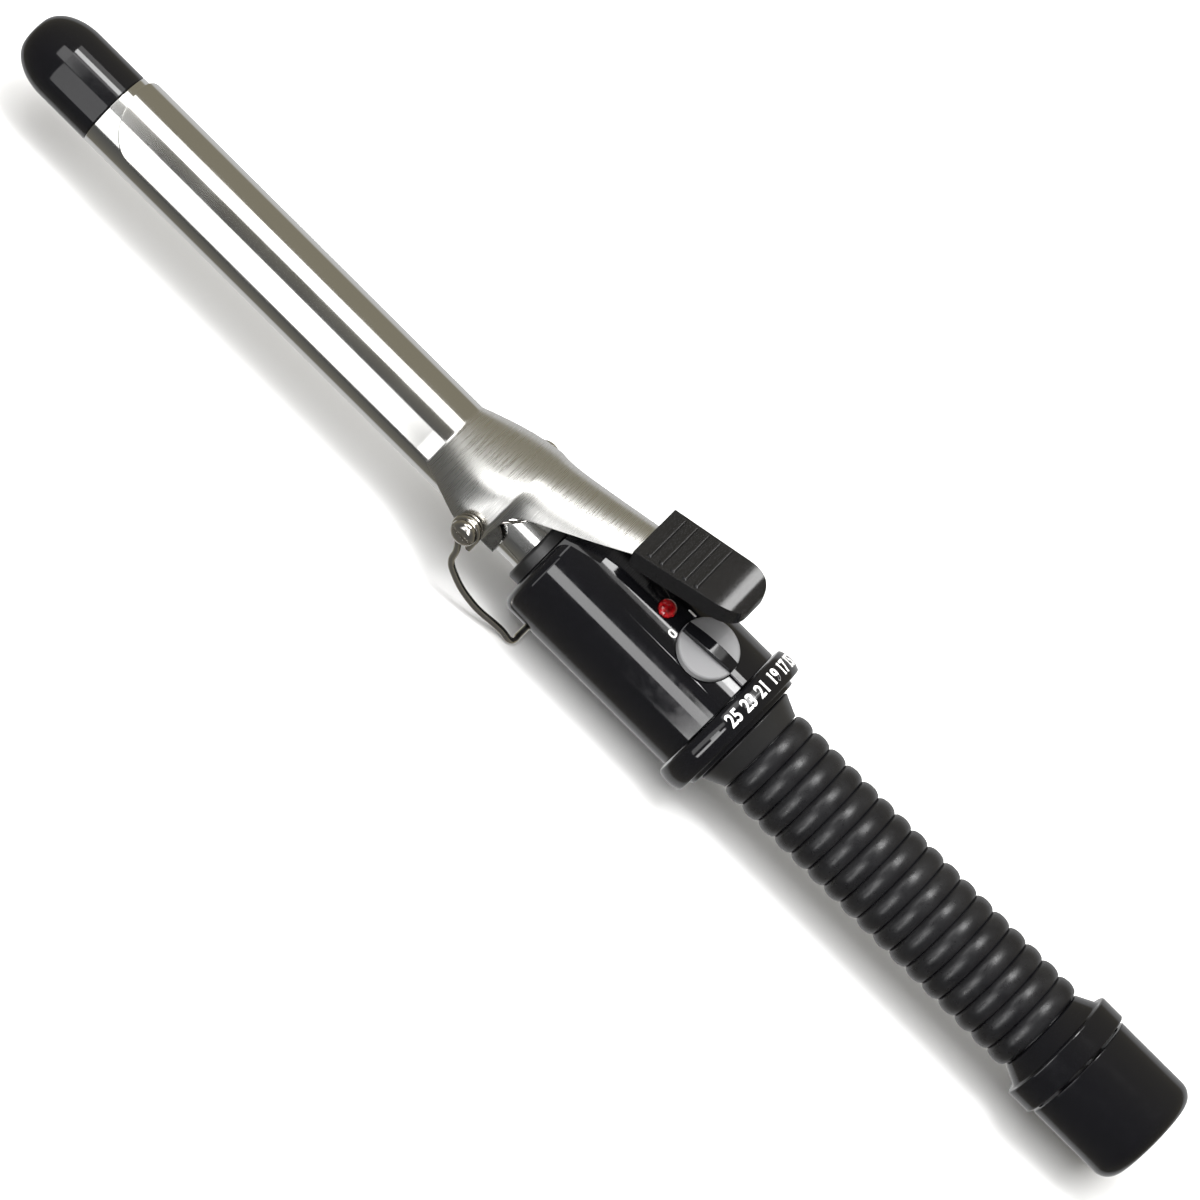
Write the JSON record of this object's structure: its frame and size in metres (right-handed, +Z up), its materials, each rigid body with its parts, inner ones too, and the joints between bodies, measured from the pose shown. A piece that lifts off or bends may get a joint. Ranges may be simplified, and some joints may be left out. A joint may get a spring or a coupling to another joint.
{
  "type": "curling iron",
  "caption": "Hair curling iron with a sprung clip on a chrome barrel, wire stand, heat dial, power switch, ribbed grip and a swivelling cord cap.",
  "frame": {"origin": "middle of the length, on the surface the iron rests on: the lowest point of the heat dial and of the stand's crossbar", "axes": "+X along the barrel axis towards the cord end, +Z up on the thumb press side, -Y the side of the switch and light; the barrel axis is 19.55 mm above the origin"},
  "size_m": [0.3502, 0.039, 0.0514],
  "materials": {
    "chrome": "polished chrome plate",
    "brushed_steel": "chrome plate, polished on the barrel part and brushed across on the lever",
    "nickel": "bright nickel plate",
    "gloss_black": "moulded gloss black",
    "satin_black": "moulded satin black",
    "rubber": "soft satin black",
    "grey_plastic": "satin mid grey",
    "red_lens": "clear red, domed",
    "board": "green circuit board",
    "ceramic": "unglazed ceramic",
    "insulation": "pale high-temperature insulation",
    "aluminium": "extruded, plain",
    "copper": "bright copper"
  },
  "bodies": {
    "handle": {"barrel": "chrome", "cool_tip": "gloss_black", "heater_element": "ceramic", "heat_spreader_upper": "aluminium", "heat_spreader_lower": "aluminium", "thermal_fuse": "nickel", "pivot_bracket": "brushed_steel", "bracket_rivet_1": "nickel", "bracket_rivet_2": "nickel", "pivot_screw_back": "nickel", "pivot_screw_front": "nickel", "pivot_bush_back": "nickel", "pivot_bush_front": "nickel", "pivot_washer_back": "nickel", "pivot_washer_front": "nickel", "front_collar": "satin_black", "barrel_insulator": "insulation", "housing_shell": "gloss_black", "housing_screw": "nickel", "bulkhead": "satin_black", "core_screw_1": "nickel", "core_screw_2": "nickel", "rheostat_track": "board", "handle_core": "satin_black", "grip_sleeve": "rubber", "end_flange": "gloss_black", "brush_contact_live": "copper", "brush_contact_neutral": "copper", "heater_lead_live": "insulation", "heater_lead_neutral": "insulation", "power_lead_live": "insulation", "power_lead_neutral": "insulation", "circuit_board": "board", "triac": "satin_black", "capacitor": "red_lens", "led_lens": "red_lens", "led_diode": "red_lens", "switch_body": "satin_black"},
    "clip_lever": {"clip": "brushed_steel", "thumb_press": "satin_black", "press_washer": "nickel", "clip_spring": "nickel"},
    "stand": {"stand_wire": "nickel"},
    "heat_dial": {"dial_ring": "gloss_black", "dial_wiper": "copper"},
    "power_switch": {"switch_disc": "grey_plastic", "switch_bar": "gloss_black"},
    "cord_cap": {"swivel_cap": "gloss_black", "swivel_core": "satin_black", "slip_ring_live": "copper", "slip_ring_neutral": "copper", "cord_bushing": "rubber"}
  },
  "joints": [
    {"name": "clip_pivot", "type": "hinge", "parent": "handle", "child": "clip_lever", "pos_m": [-0.02831, 0, 0.02075], "axis": [0, 1, 0], "range_deg": [0, 5.5], "stiffness_Nm_per_rad": 0.4, "springref_deg": -34.38, "deforming": ["clip_spring"]},
    {"name": "stand_swing", "type": "hinge", "parent": "handle", "child": "stand", "pos_m": [-0.02831, 0, 0.02075], "axis": [0, 1, 0], "range_deg": [0, 85]},
    {"name": "dial_turn", "type": "hinge", "parent": "handle", "child": "heat_dial", "pos_m": [0.0432, 0, 0.01955], "axis": [1, 0, 0], "range_deg": [-24, 143]},
    {"name": "switch_turn", "type": "hinge", "parent": "handle", "child": "power_switch", "pos_m": [0.02799, 0, 0.01955], "axis": [0, -0.3007, 0.9537], "range_deg": [-27, 22]},
    {"name": "swivel_cap_spin", "type": "hinge", "parent": "handle", "child": "cord_cap", "pos_m": [0.1637, 0, 0.01955], "axis": [1, 0, 0], "continuous": true}
  ]
}
